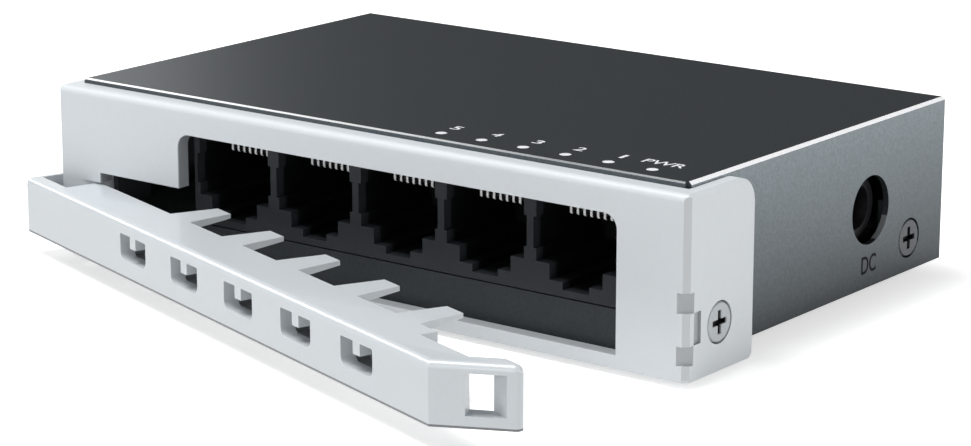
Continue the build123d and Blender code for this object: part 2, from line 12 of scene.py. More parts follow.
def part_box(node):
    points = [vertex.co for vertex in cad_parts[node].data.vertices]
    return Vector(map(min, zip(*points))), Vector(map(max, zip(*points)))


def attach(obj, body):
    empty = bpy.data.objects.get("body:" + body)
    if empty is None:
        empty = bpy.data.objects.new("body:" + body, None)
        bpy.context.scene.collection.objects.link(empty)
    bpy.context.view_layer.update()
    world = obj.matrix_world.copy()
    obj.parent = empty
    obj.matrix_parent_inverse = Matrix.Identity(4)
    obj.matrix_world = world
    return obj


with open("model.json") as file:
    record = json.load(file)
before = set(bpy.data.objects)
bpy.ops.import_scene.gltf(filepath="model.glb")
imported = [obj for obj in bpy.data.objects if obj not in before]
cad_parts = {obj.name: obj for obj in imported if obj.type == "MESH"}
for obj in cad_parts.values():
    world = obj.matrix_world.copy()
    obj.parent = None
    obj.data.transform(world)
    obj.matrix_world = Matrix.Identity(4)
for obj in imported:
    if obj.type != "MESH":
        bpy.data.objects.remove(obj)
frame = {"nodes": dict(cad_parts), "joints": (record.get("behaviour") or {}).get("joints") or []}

logging.basicConfig(level=logging.INFO, format="%(name)s: %(message)s")
LOG = logging.getLogger("switch")
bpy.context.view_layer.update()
MM = 0.001
Colour = tuple[float, float, float]
Point = tuple[float, float, float]
Run = tuple[float, float]
Socket = bpy.types.NodeSocket
Feed = Union[Socket, float, Colour, Point]


class Body(str, Enum):
    """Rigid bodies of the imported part."""

    HOUSING = "housing"
    BAR = "bar"


class Grain(Enum):
    """How the fine surface noise of a finish runs."""

    EVEN = (1.0, 1.0, 1.0)
    ALONG_X = (0.06, 1.0, 1.0)
    ALONG_Y = (1.0, 0.06, 1.0)


class Spot(Enum):
    """What a finish can ask about the point that it colours."""

    PLACE = "Object"
    SLOPE = "Normal"


class Join(Enum):
    """Ways in which a finish joins or tests values."""

    TIMES = "MULTIPLY"
    MINUS = "SUBTRACT"
    LARGER = "MAXIMUM"
    UNSIGNED = "ABSOLUTE"
    BELOW = "LESS_THAN"
    ABOVE = "GREATER_THAN"
    REPEAT = "WRAP"


@dataclass(frozen=True)
class Room:
    """Box of space in which a finish changes its tone.

    Args:
        low: Lowest corner in metres.
        high: Highest corner in metres.
    """

    low: Point
    high: Point

    @property
    def middle(self) -> Vector:
        """Gives the middle of the box."""
        return (Vector(self.low) + Vector(self.high)) / 2

    @property
    def half(self) -> Vector:
        """Gives half the size of the box."""
        return (Vector(self.high) - Vector(self.low)) / 2


class Recipe:
    """Nodes of one material, with the steps that the finishes share."""

    MASK_INPUT = 0
    UNDER_INPUT = 6
    OVER_INPUT = 7
    COLOUR_OUTPUT = 2

    def __init__(self, name: str) -> None:
        """Opens a node material.

        Args:
            name: Material name.
        """
        self.material = bpy.data.materials.new(name)
        self.material.use_nodes = True
        self.tree = self.material.node_tree
        self.shader = self.tree.nodes["Principled BSDF"]

    def feed(self, target: Socket, value: Feed) -> None:
        """Puts a number, a colour or another node's output on an input.

        Args:
            target: Input to feed.
            value: What it gets.
        """
        if isinstance(value, Socket):
            self.tree.links.new(value, target)
        elif target.type == "RGBA":
            target.default_value = (*value, 1.0)
        else:
            target.default_value = value

    def fill(self, node: bpy.types.Node, inputs: dict[Union[int, str], Feed]) -> bpy.types.Node:
        """Feeds several inputs of a node.

        Args:
            node: Node to fill.
            inputs: What each input gets, by its name or number.

        Returns:
            The same node.
        """
        for key, value in inputs.items():
            self.feed(node.inputs[key], value)
        return node

    def add(self, kind: str, inputs: dict[Union[int, str], Feed]) -> bpy.types.Node:
        """Adds a node and feeds its inputs.

        Args:
            kind: Last part of the node's type name.
            inputs: What each input gets, by its name or number.

        Returns:
            The new node.
        """
        return self.fill(self.tree.nodes.new("ShaderNode" + kind), inputs)

    def spot(self, kind: Spot) -> Socket:
        """Gives the place or the slope of the coloured point.

        Args:
            kind: Which of the two.

        Returns:
            Its vector, in the object's own space.
        """
        return self.add("TexCoord", {}).outputs[kind.value]

    def split(self, vector: Socket) -> list[Socket]:
        """Splits a vector.

        Args:
            vector: Vector to split.

        Returns:
            Its X, Y and Z.
        """
        return list(self.add("SeparateXYZ", {"Vector": vector}).outputs)

    def join(self, way: Join, *values: Feed) -> Socket:
        """Joins numbers, or tests one against another.

        Args:
            way: How to join them.
            values: The numbers.

        Returns:
            The result, which is 1 or 0 for a test.
        """
        node = self.add("Math", dict(enumerate(values)))
        node.operation = way.value
        return node.outputs["Value"]

    def join_vectors(self, way: Join, *values: Feed) -> Socket:
        """Joins vectors axis by axis.

        Args:
            way: How to join them.
            values: The vectors.

        Returns:
            The joined vector.
        """
        node = self.add("VectorMath", dict(enumerate(values)))
        node.operation = way.value
        return node.outputs["Vector"]

    def every(self, *tests: Socket) -> Socket:
        """Tells whether all tests hold.

        Args:
            tests: Results of tests.

        Returns:
            1 where all of them are 1, and 0 elsewhere.
        """
        result = tests[0]
        for test in tests[1:]:
            result = self.join(Join.TIMES, result, test)
        return result

    def inside(self, room: Room) -> Socket:
        """Tests whether the coloured point lies in a box.

        Args:
            room: The box.

        Returns:
            1 inside the box and 0 outside.
        """
        shift = self.join_vectors(Join.MINUS, self.spot(Spot.PLACE), room.middle)
        distances = self.split(self.join_vectors(Join.UNSIGNED, shift))
        return self.every(*(self.join(Join.BELOW, d, h) for d, h in zip(distances, room.half)))

    def span(self, value: Socket, first: Run, last: Run) -> Socket:
        """Turns one run of numbers into another and holds the ends.

        Args:
            value: Number to turn.
            first: Start of the run and what it becomes.
            last: End of the run and what it becomes.

        Returns:
            The turned number.
        """
        ends = {"From Min": first[0], "To Min": first[1], "From Max": last[0], "To Max": last[1]}
        return self.add("MapRange", {"Value": value, **ends}).outputs["Result"]

    def noise(self, scale: float, detail: float, grain: Grain) -> Socket:
        """Adds a noise in the object's own space.

        Args:
            scale: Cells per metre.
            detail: Octaves of the noise.
            grain: Stretch of the noise.

        Returns:
            The noise, with values near 0.5.
        """
        mapping = self.add("Mapping", {"Vector": self.spot(Spot.PLACE), "Scale": grain.value})
        cells = {"Vector": mapping.outputs["Vector"], "Scale": scale, "Detail": detail}
        return self.add("TexNoise", cells).outputs["Fac"]

    def ramp(self, value: Socket, stops: Run, colours: tuple[Colour, Colour]) -> Socket:
        """Turns a noise into a colour between two others.

        Args:
            value: The noise.
            stops: Noise values at which the two colours stand.
            colours: The two colours.

        Returns:
            The colour.
        """
        node = self.add("ValToRGB", {"Fac": value})
        for element, stop, colour in zip(node.color_ramp.elements, stops, colours):
            element.position = stop
            element.color = (*colour, 1.0)
        return node.outputs["Color"]

    def over(self, under: Feed, top: Feed, mask: Socket) -> Socket:
        """Lays one colour over another.

        Args:
            under: Colour below.
            top: Colour on top.
            mask: Share of the top colour that shows.

        Returns:
            The joined colour.
        """
        node = self.add("Mix", {self.MASK_INPUT: mask, self.UNDER_INPUT: under, self.OVER_INPUT: top})
        node.data_type = "RGBA"
        return node.outputs[self.COLOUR_OUTPUT]


@dataclass(frozen=True)
class Finish:
    """A procedural surface finish: fine noise for colour and bump, slow noise for roughness.

    Args:
        name: Material name.
        colour: Linear base colour.
        roughness: Mean roughness.
        metallic: Metal share from 0 to 1.
        grain_scale: Cells of the fine noise per metre.
        grain_depth: Height of the fine noise in metres.
        tint: How far the colour wanders up and down, as a share.
        rough_swing: How far the roughness wanders.
        grain: Direction of the grain.
        coat: Weight of a clear coat.
        specular: Specular level of the shader.
        fine_detail: Octaves of the fine noise.
        cloud_scale: Cells of the slow noise per metre.
        cloud_detail: Octaves of the slow noise.
        cloud_run: Slow noise values at which the roughness is lowest and highest.
        tint_run: Fine noise values at which the colour is darkest and lightest.
        bump_strength: Share of the bump that shows.
    """

    name: str
    colour: Colour
    roughness: float
    metallic: float = 0.0
    grain_scale: float = 4000.0
    grain_depth: float = 0.01 * MM
    tint: float = 0.05
    rough_swing: float = 0.08
    grain: Grain = Grain.EVEN
    coat: float = 0.0
    specular: float = 0.5
    fine_detail: float = 4.0
    cloud_scale: float = 90.0
    cloud_detail: float = 3.0
    cloud_run: Run = (0.3, 0.7)
    tint_run: Run = (0.36, 0.64)
    bump_strength: float = 0.6

    def build(self) -> bpy.types.Material:
        """Makes the node material.

        Returns:
            The material.
        """
        recipe = Recipe(self.name)
        fine = recipe.noise(self.grain_scale, self.fine_detail, self.grain)
        cloudy = recipe.noise(self.cloud_scale, self.cloud_detail, Grain.EVEN)
        dark = tuple(c * (1 - self.tint) for c in self.colour)
        light = tuple(min(1.0, c * (1 + self.tint)) for c in self.colour)
        smooth = (self.cloud_run[0], self.roughness - self.rough_swing)
        rough = (self.cloud_run[1], self.roughness + self.rough_swing)
        relief = {"Strength": self.bump_strength, "Distance": self.grain_depth, "Height": fine}
        surface = {
            "Base Color": self.tone(recipe, recipe.ramp(fine, self.tint_run, (dark, light))),
            "Roughness": recipe.span(cloudy, smooth, rough),
            "Metallic": self.metal(recipe),
            "Specular IOR Level": self.specular,
            "Coat Weight": self.coat,
            "Normal": recipe.add("Bump", relief).outputs["Normal"],
        }
        recipe.fill(recipe.shader, surface)
        return recipe.material

    def tone(self, recipe: Recipe, plain: Socket) -> Socket:
        """Gives the colour that shows. A plain finish leaves it as it is.

        Args:
            recipe: Nodes of the material.
            plain: Colour of the bare finish.

        Returns:
            The colour that shows.
        """
        return plain

    def metal(self, recipe: Recipe) -> Feed:
        """Gives the metal share. A plain finish has the same all over.

        Args:
            recipe: Nodes of the material.

        Returns:
            The metal share.
        """
        return self.metallic


@dataclass(frozen=True)
class CutEdgeMetal(Finish):
    """Coated sheet whose chamfered cut edges show bright bare metal, with painted light on its side walls
    and a painted reflection along its front chamfer.

    Args:
        edge_colour: Linear colour of the bare metal.
        edge_low: Slope from which a face counts as a chamfer.
        edge_high: Slope up to which a face counts as a chamfer.
        edge_metallic: Metal share on the chamfers, low because burrs scatter the light.
        painted_front_reflection: Linear colour at the right end of the front chamfer, a painted reflection
            of the dark room above.
        reflection_bright_end: X of the bright end of the painted reflection on the front chamfer, in metres.
        reflection_dark_end: X from which the painted reflection on the front chamfer is dark, in metres.
        front_slope: Slope towards the front below which a chamfer counts as the front one.
        side_slope: Slope to the side from which a face counts as a side wall.
        painted_light_foot: Height in metres and brightness share of the painted light at the foot of the
            side walls.
        painted_light_top: Height in metres and brightness share of the painted light at the top of the side
            walls.
    """

    edge_colour: Colour = (0.95, 0.96, 0.97)
    edge_low: float = 0.35
    edge_high: float = 0.93
    edge_metallic: float = 0.05
    painted_front_reflection: Colour = (0.22, 0.23, 0.24)
    reflection_bright_end: float = -35.0 * MM
    reflection_dark_end: float = 30.0 * MM
    front_slope: float = -0.3
    side_slope: float = 0.9
    painted_light_foot: Run = (2.0 * MM, 0.53)
    painted_light_top: Run = (24.0 * MM, 1.7)

    def tone(self, recipe: Recipe, plain: Socket) -> Socket:
        """Paints light on the side walls, lighter towards the top, bares the metal on the chamfers and
        paints a reflection along the front chamfer.

        Args:
            recipe: Nodes of the material.
            plain: Colour of the coating.

        Returns:
            The colour that shows.
        """
        place_x, _, height = recipe.split(recipe.spot(Spot.PLACE))
        sideways, backwards, _ = recipe.split(recipe.spot(Spot.SLOPE))
        # Painted light: the side walls are darker at the foot and lighter at the top.
        painted_side_light = recipe.span(height, self.painted_light_foot, self.painted_light_top)
        is_side = recipe.join(Join.ABOVE, recipe.join(Join.UNSIGNED, sideways), self.side_slope)
        coating = recipe.over(plain, recipe.join_vectors(Join.TIMES, plain, painted_side_light), is_side)
        # Painted reflection: the front chamfer goes from bright at the left to dark at the right.
        is_front = recipe.join(Join.BELOW, backwards, self.front_slope)
        reflection_fade = recipe.span(place_x, (self.reflection_bright_end, 0.0), (self.reflection_dark_end, 1.0))
        bare = recipe.over(self.edge_colour, self.painted_front_reflection, recipe.every(is_front, reflection_fade))
        return recipe.over(coating, bare, self._chamfer(recipe))

    def metal(self, recipe: Recipe) -> Feed:
        """Gives the metal share, which is lower on the chamfers.

        Args:
            recipe: Nodes of the material.

        Returns:
            The metal share.
        """
        return recipe.span(self._chamfer(recipe), (0.0, self.metallic), (1.0, self.edge_metallic))

    def _chamfer(self, recipe: Recipe) -> Socket:
        """Tests whether the coloured point lies on a chamfer.

        Args:
            recipe: Nodes of the material.

        Returns:
            1 on a chamfer and 0 elsewhere.
        """
        upwards = recipe.split(recipe.spot(Spot.SLOPE))[2]
        steep = recipe.join(Join.BELOW, upwards, self.edge_high)
        return recipe.every(recipe.join(Join.ABOVE, upwards, self.edge_low), steep)


@dataclass(frozen=True)
class BoardFinish(Finish):
    """Solder mask with lighter copper runs under it.

    Args:
        trace_colour: Linear colour over a copper run.
        trace_scale: Runs per metre.
        trace_width: Width of a run as a share of its brick.
    """

    trace_colour: Colour = (0.012, 0.03, 0.02)
    trace_scale: float = 260.0
    trace_width: float = 0.08

    def tone(self, recipe: Recipe, plain: Socket) -> Socket:
        """Lays the runs as the joints of a brick pattern.

        Args:
            recipe: Nodes of the material.
            plain: Colour of the mask.

        Returns:
            The colour that shows.
        """
        bricks = {
            "Vector": recipe.spot(Spot.PLACE),
            "Color1": plain,
            "Color2": plain,
            "Mortar": self.trace_colour,
            "Scale": self.trace_scale,
            "Mortar Size": self.trace_width,
        }
        return recipe.add("TexBrick", bricks).outputs["Color"]


@dataclass(frozen=True)
class ScrewWithPaintedShade(Finish):
    """Screw with painted shade in its drive recess and seat.

    Args:
        right_screw: Node of the right one of the two screws, whose head sets the face.
        shade_depth: Depth below the face at which the painted shade begins, in metres.
        dark: Linear colour of the painted shade inside the recess and the seat.
    """

    right_screw: str = "collar_screw_right"
    shade_depth: float = 0.22 * MM
    dark: Colour = (0.008, 0.008, 0.009)

    def tone(self, recipe: Recipe, plain: Socket) -> Socket:
        """Paints shade on everything below the face of the head, on both sides of the housing.

        Args:
            recipe: Nodes of the material.
            plain: Colour of the head.

        Returns:
            The colour that shows.
        """
        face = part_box(self.right_screw)[1][0]
        outward = recipe.join(Join.UNSIGNED, recipe.split(recipe.spot(Spot.PLACE))[0])
        # Painted shade: all below the face of the head turns dark.
        return recipe.over(plain, self.dark, recipe.join(Join.BELOW, outward, face - self.shade_depth))


@dataclass(frozen=True)
class MouldingWithPaintedShade(Finish):
    """Moulding with painted shade on its window reveal, which the black sockets behind it leave in shade, on
    the latch seats and on the chamfer of the right front corner.

    Args:
        reveal: Box round the reveal.
        painted_reveal_shade: Linear colour of the painted shade on the reveal.
        seats: Box round the latch seats beside the lug.
        seat_line: Largest X minus Y of the sloping seats, in metres.
        painted_seat_shade: Linear colour of the painted shade on the seats.
        corner: Box round the chamfer of the right front corner.
        painted_corner_shade: Linear colour of the painted shade on that chamfer.
    """

    reveal: Room = Room((-44.8 * MM, 0.2 * MM, 2.1 * MM), (44.8 * MM, 2.3 * MM, 20.3 * MM))
    painted_reveal_shade: Colour = (0.36, 0.38, 0.4)
    seats: Room = Room((50.0 * MM, 0.02 * MM, 2.8 * MM), (51.71 * MM, 3.18 * MM, 12.0 * MM))
    seat_line: float = 50.26 * MM
    painted_seat_shade: Colour = (0.4, 0.42, 0.44)
    corner: Room = Room((51.01 * MM, 0.01 * MM, 1.1 * MM), (51.714 * MM, 0.71 * MM, 23.5 * MM))
    painted_corner_shade: Colour = (0.54, 0.565, 0.585)

    def tone(self, recipe: Recipe, plain: Socket) -> Socket:
        """Paints shade on the reveal, the seats and the corner.

        Args:
            recipe: Nodes of the material.
            plain: Colour of the moulding.

        Returns:
            The colour that shows.
        """
        place_x, place_y, _ = recipe.split(recipe.spot(Spot.PLACE))
        sloping = recipe.join(Join.BELOW, recipe.join(Join.MINUS, place_x, place_y), self.seat_line)
        # Painted shade on the reveal, the latch seats and the corner chamfer.
        with_reveal_shade = recipe.over(plain, self.painted_reveal_shade, recipe.inside(self.reveal))
        with_seat_shade = recipe.over(with_reveal_shade, self.painted_seat_shade, recipe.every(sloping, recipe.inside(self.seats)))
        return recipe.over(with_seat_shade, self.painted_corner_shade, recipe.inside(self.corner))


@dataclass(frozen=True)
class ShadedBar(Finish):
    """Moulding of the bar with painted shade on its lower edge and on the boxes behind its slots.

    Args:
        open_angle: How far the bar stands open, in degrees.
        edge_top: Height up to which the lower edge gets the painted shade, in metres.
        front: Closed place of the bar's front face, in metres.
        wall: Depth at which the boxes start behind the front face, in metres.
        box_top: Height below which the boxes and the shelf's underside lie, in metres.
        box_left: Left end of the row of boxes in metres.
        box_right: Right end of the row of boxes in metres.
        shade: Linear colour of the painted shade.
    """

    open_angle: float = 18.92
    edge_top: float = 3.48 * MM
    front: float = -5.15 * MM
    wall: float = 2.1 * MM
    box_top: float = 8.5 * MM
    box_left: float = -27.0 * MM
    box_right: float = 42.0 * MM
    shade: Colour = (0.17, 0.18, 0.19)

    def tone(self, recipe: Recipe, plain: Socket) -> Socket:
        """Paints shade on the lower edge and the boxes.

        Args:
            recipe: Nodes of the material.
            plain: Colour of the moulding.

        Returns:
            The colour that shows.
        """
        place_x, place_y, height = recipe.split(self._closed_place(recipe))
        # Painted shade on the lower edge and on the boxes behind the slots.
        boxes = recipe.every(
            recipe.join(Join.ABOVE, place_y, self.front + self.wall),
            recipe.join(Join.ABOVE, place_x, self.box_left),
            recipe.join(Join.BELOW, place_x, self.box_right),
            recipe.join(Join.BELOW, height, self.box_top),
        )
        lower_edge = recipe.join(Join.BELOW, height, self.edge_top)
        return recipe.over(plain, self.shade, recipe.join(Join.LARGER, lower_edge, boxes))

    def _closed_place(self, recipe: Recipe) -> Socket:
        """Turns the coloured point about the hinge to where it lies when the bar is closed.

        Args:
            recipe: Nodes of the material.

        Returns:
            The turned place.
        """
        joint = next(j for j in frame["joints"] if j["child"] == Body.BAR.value)
        hinge = Vector(joint["pos_m"])
        angle = math.radians(self.open_angle)
        shift = hinge - Matrix.Rotation(angle, 3, "Z") @ hinge
        turn = {"Vector": recipe.spot(Spot.PLACE), "Location": shift, "Rotation": (0.0, 0.0, angle)}
        return recipe.add("Mapping", turn).outputs["Vector"]


@dataclass(frozen=True)
class DeepSocket(Finish):
    """Socket plastic with painted shade that turns it black a little way behind the face of the block.

    Args:
        lit_depth: How far light reaches behind the block's front face, in metres.
        painted_depth_shade: Linear colour of the painted shade beyond it.
    """

    lit_depth: float = 1.45 * MM
    painted_depth_shade: Colour = (0.0035, 0.004, 0.0045)

    def tone(self, recipe: Recipe, plain: Socket) -> Socket:
        """Paints black shade in the depth of the sockets.

        Args:
            recipe: Nodes of the material.
            plain: Colour of the plastic.

        Returns:
            The colour that shows.
        """
        lit_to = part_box("port_block")[0][1] + self.lit_depth
        # Painted shade: black from a little way behind the block's front face.
        beyond = recipe.join(Join.ABOVE, recipe.split(recipe.spot(Spot.PLACE))[1], lit_to)
        return recipe.over(plain, self.painted_depth_shade, beyond)


@dataclass(frozen=True)
class SocketWire(Finish):
    """Plated contact wires with a painted highlight along their middle and a painted dark reflection of the
    black socket on their flanks.

    Args:
        left_contacts: Node of the leftmost socket's wires.
        socket_pitch: Distance between sockets in metres.
        wire_pitch: Distance between wires in metres.
        highlight_half_width: Half the width of the painted highlight line in metres.
        painted_flank_reflection: Linear colour of the flanks, a painted reflection of the black socket.
    """

    left_contacts: str = "port_contacts_5"
    socket_pitch: float = 13.97 * MM
    wire_pitch: float = 1.02 * MM
    highlight_half_width: float = 0.17 * MM
    painted_flank_reflection: Colour = (0.03, 0.03, 0.032)

    def tone(self, recipe: Recipe, plain: Socket) -> Socket:
        """Paints the dark reflection on the flanks of every wire, brought back to one wire of the leftmost
        socket.

        Args:
            recipe: Nodes of the material.
            plain: Colour of the plating.

        Returns:
            The colour that shows.
        """
        low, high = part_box(self.left_contacts)
        socket = (low[0] + high[0]) / 2
        # The even number of wires puts one of them half a pitch beside the socket's middle.
        wire = socket + self.wire_pitch / 2
        in_socket = self._wrap(recipe, recipe.split(recipe.spot(Spot.PLACE))[0], socket, self.socket_pitch)
        in_wire = self._wrap(recipe, in_socket, wire, self.wire_pitch)
        distance = recipe.join(Join.UNSIGNED, recipe.join(Join.MINUS, in_wire, wire))
        # Painted highlight along the middle of each wire, painted dark reflection on both sides of it.
        return recipe.over(plain, self.painted_flank_reflection, recipe.join(Join.ABOVE, distance, self.highlight_half_width))

    @staticmethod
    def _wrap(recipe: Recipe, value: Socket, middle: float, pitch: float) -> Socket:
        """Brings a repeating place back into its first period.

        Args:
            recipe: Nodes of the material.
            value: Place in metres.
            middle: Middle of the first period in metres.
            pitch: Length of a period in metres.

        Returns:
            The place inside the first period.
        """
        return recipe.join(Join.REPEAT, value, middle + pitch / 2, middle - pitch / 2)


WHITE = MouldingWithPaintedShade(
    "white_moulding",
    (0.645, 0.68, 0.708),
    0.34,
    grain_scale=1500.0,
    grain_depth=0.0015 * MM,
    tint=0.006,
    rough_swing=0.02,
)
WHITE_BAR = ShadedBar(
    "bar_moulding",
    (0.58, 0.615, 0.642),
    0.3,
    grain_scale=1500.0,
    grain_depth=0.0015 * MM,
    tint=0.006,
    rough_swing=0.02,
    coat=0.3,
)
COVER = CutEdgeMetal(
    "coated_cover",
    (0.115, 0.132, 0.143),
    0.34,
    metallic=0.86,
    grain_scale=2600.0,
    grain_depth=0.002 * MM,
    tint=0.1,
    rough_swing=0.006,
)
TRAY = Finish(
    "coated_tray",
    (0.03, 0.036, 0.041),
    0.45,
    metallic=0.4,
    grain_scale=3600.0,
    grain_depth=0.012 * MM,
    tint=0.12,
)
PORT = DeepSocket("socket_plastic", (0.023, 0.026, 0.03), 0.5, grain_scale=2600.0, tint=0.06, specular=0.3)
JACK = Finish("inlet_plastic", (0.012, 0.012, 0.014), 0.4, grain_scale=3500.0, tint=0.1)
# The near-white colour shows only along the middle of each wire, as a painted highlight.
WIRE = SocketWire("plated_wire", (1.0, 1.0, 0.99), 0.35, tint=0.0, specular=0.8)
STEEL = Finish("bright_steel", (0.56, 0.57, 0.58), 0.28, metallic=1.0, tint=0.1, grain=Grain.ALONG_X)
SCREW = ScrewWithPaintedShade("coated_screw", (0.46, 0.49, 0.51), 0.34, metallic=0.15)
CASE_SCREW = ScrewWithPaintedShade(
    "nickel_screw",
    (0.09, 0.097, 0.104),
    0.35,
    metallic=0.5,
    tint=0.1,
    right_screw="case_screw_right",
)
LIGHT = Finish("frosted_guide", (0.9, 0.92, 0.93), 0.3, tint=0.02)
LED = Finish("light_chip", (0.8, 0.8, 0.7), 0.3)
BOARD = BoardFinish("solder_mask", (0.006, 0.014, 0.01), 0.4, tint=0.1, coat=0.2)
CHIP = Finish("chip_body", (0.02, 0.02, 0.022), 0.5, grain_scale=6000.0, tint=0.15)
CAN = Finish("metal_can", (0.6, 0.6, 0.61), 0.3, metallic=1.0, tint=0.1)
SINK = Finish("anodised_fins", (0.45, 0.46, 0.47), 0.36, metallic=0.9, tint=0.08, grain=Grain.ALONG_Y)
FERRITE = Finish("ferrite_body", (0.1, 0.1, 0.105), 0.6, tint=0.12)
RUBBER = Finish("foot_rubber_finish", (0.02, 0.02, 0.021), 0.75, tint=0.15)
LETTER = Finish("printed_white", (0.8, 0.81, 0.82), 0.5, tint=0.02)
LETTER_SIDE = Finish("printed_dark", (0.006, 0.006, 0.007), 0.7, tint=0.02, specular=0.1)


class FinishBook:
    """Keeps one material for each finish, built when first asked for."""

    def __init__(self) -> None:
        """Starts an empty book."""
        self._made: dict[str, bpy.types.Material] = {}

    def get(self, finish: Finish) -> bpy.types.Material:
        """Gives the material of a finish.

        Args:
            finish: The finish wanted.

        Returns:
            Its material.
        """
        if finish.name not in self._made:
            self._made[finish.name] = finish.build()
        return self._made[finish.name]

    def dress(self, finish: Finish, *nodes: str) -> None:
        """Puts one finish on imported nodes.

        Args:
            finish: The finish to use.
            nodes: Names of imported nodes.
        """
        for node in nodes:
            mesh = frame["nodes"][node].data
            mesh.materials.clear()
            mesh.materials.append(self.get(finish))
            LOG.info("%s wears %s", node, finish.name)


@dataclass(frozen=True)
class Word:
    """One printed word or numeral.

    Args:
        name: Name of the piece.
        text: Characters to print.
        place: Middle of the word in metres.
        size: Width and height of the print in metres.
        finish: Ink.
        turn: Euler angles of the word's plane.
    """

    name: str
    text: str
    place: Point
    size: tuple[float, float]
    finish: Finish
    turn: Point = (0.0, 0.0, 0.0)


@dataclass
class Lettering:
    """Printed characters on a flat face of the housing.

    Args:
        finishes: Shared materials.
        thickness: Height of the print over its face, in metres.
        boldness: How far the strokes are widened, as a share of the letter's height.
    """

    finishes: FinishBook
    thickness: float = 0.02 * MM
    boldness: float = 0.012

    def write(self, word: Word) -> bpy.types.Object:
        """Makes one word as a thin mesh and scales it to its printed size.

        Args:
            word: The word to print.

        Returns:
            The mesh object.
        """
        mesh = self._outline(word)
        low = Vector((min(v.co[i] for v in mesh.vertices) for i in range(3)))
        high = Vector((max(v.co[i] for v in mesh.vertices) for i in range(3)))
        middle = (low + high) / 2
        span = high - low
        for vertex in mesh.vertices:
            x = (vertex.co.x - middle.x) / span.x * word.size[0]
            y = (vertex.co.y - middle.y) / span.y * word.size[1]
            vertex.co = Vector((x, y, self.thickness))
        piece = bpy.data.objects.new(word.name, mesh)
        piece.location = word.place
        piece.rotation_euler = word.turn
        mesh.materials.clear()
        mesh.materials.append(self.finishes.get(word.finish))
        bpy.context.scene.collection.objects.link(piece)
        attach(piece, Body.HOUSING.value)
        LOG.info("%s printed at %s", word.name, tuple(round(v, 4) for v in word.place))
        return piece

    def _outline(self, word: Word) -> bpy.types.Mesh:
        """Makes the flat letters of a word in the size of the typeface.

        Args:
            word: The word to print.

        Returns:
            The mesh.
        """
        curve = bpy.data.curves.new(word.name, "FONT")
        curve.body = word.text
        curve.align_x = "CENTER"
        curve.offset = self.boldness
        maker = bpy.data.objects.new(word.name + "_curve", curve)
        bpy.context.scene.collection.objects.link(maker)
        bpy.context.view_layer.update()
        mesh = bpy.data.meshes.new_from_object(maker.evaluated_get(bpy.context.evaluated_depsgraph_get()))
        bpy.data.objects.remove(maker)
        return mesh


@dataclass
class MetalCase:
    """Dark case with its prints.

    Args:
        finishes: Shared materials.
        numerals: Characters over the lights, from left to right.
        label_y: Distance of the numerals from the front, in metres.
        numeral_size: Width and height of a numeral, in metres.
        one_size: Width and height of the narrow numeral, in metres.
        power_size: Width and height of the power word, in metres.
        power_shift: How far the power word stands left of its light, in metres.
        inlet_size: Width and height of the inlet word, in metres.
        inlet_y: Distance of the inlet word from the front, in metres.
        inlet_z: Height of the inlet word's middle, in metres.
        chip_width: Width of a light chip, in metres.
    """

    finishes: FinishBook
    numerals: str = "54321"
    label_y: float = 9.25 * MM
    numeral_size: tuple[float, float] = (1.35 * MM, 1.75 * MM)
    one_size: tuple[float, float] = (0.55 * MM, 1.75 * MM)
    power_size: tuple[float, float] = (6.0 * MM, 1.8 * MM)
    power_shift: float = 0.4 * MM
    inlet_size: tuple[float, float] = (3.65 * MM, 2.4 * MM)
    inlet_y: float = 45.2 * MM
    inlet_z: float = 5.56 * MM
    chip_width: float = 1.6 * MM

    def build(self) -> None:
        """Dresses the case and prints its words."""
        self.finishes.dress(COVER, "top_cover")
        self.finishes.dress(TRAY, "base_tray")
        self.finishes.dress(LIGHT, "light_guide")
        self.finishes.dress(LED, "status_leds")
        self.finishes.dress(CASE_SCREW, "case_screw_right", "case_screw_left")
        self.finishes.dress(RUBBER, *(f"foot_{e}_{s}" for e in ("front", "rear") for s in ("left", "right")))
        print_shop = Lettering(self.finishes)
        for word in self._words():
            print_shop.write(word)

    def _words(self) -> list[Word]:
        """Lists the prints: a numeral over each port light, the power word and the inlet word.

        Returns:
            The words.
        """
        right, _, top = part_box("top_cover")[1]
        low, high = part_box("status_leds")
        first = low[0] + self.chip_width / 2
        last = high[0] - self.chip_width / 2
        pitch = (last - first) / len(self.numerals)
        words = []
        for i, numeral in enumerate(self.numerals):
            size = self.one_size if numeral == "1" else self.numeral_size
            place = (first + i * pitch, self.label_y, top)
            words.append(Word(f"numeral_{numeral}", numeral, place, size, LETTER))
        power_place = (last - self.power_shift, self.label_y, top)
        words.append(Word("word_power", "PWR", power_place, self.power_size, LETTER))
        facing_right = (math.pi / 2, 0.0, math.pi / 2)
        inlet_place = (right, self.inlet_y, self.inlet_z)
        words.append(Word("word_inlet", "DC", inlet_place, self.inlet_size, LETTER_SIDE, facing_right))
        return words


@dataclass
class FrontFrame:
    """Light moulded frame with its screws and hinge pin.

    Args:
        finishes: Shared materials.
    """

    finishes: FinishBook

    def build(self) -> None:
        """Dresses the frame."""
        self.finishes.dress(WHITE, "front_collar")
        self.finishes.dress(SCREW, "collar_screw_right", "collar_screw_left")
        self.finishes.dress(STEEL, "hinge_pin")


@dataclass
class LockBar:
    """Swinging bar.

    Args:
        finishes: Shared materials.
    """

    finishes: FinishBook

    def build(self) -> None:
        """Dresses the bar."""
        self.finishes.dress(WHITE_BAR, "lock_bar")


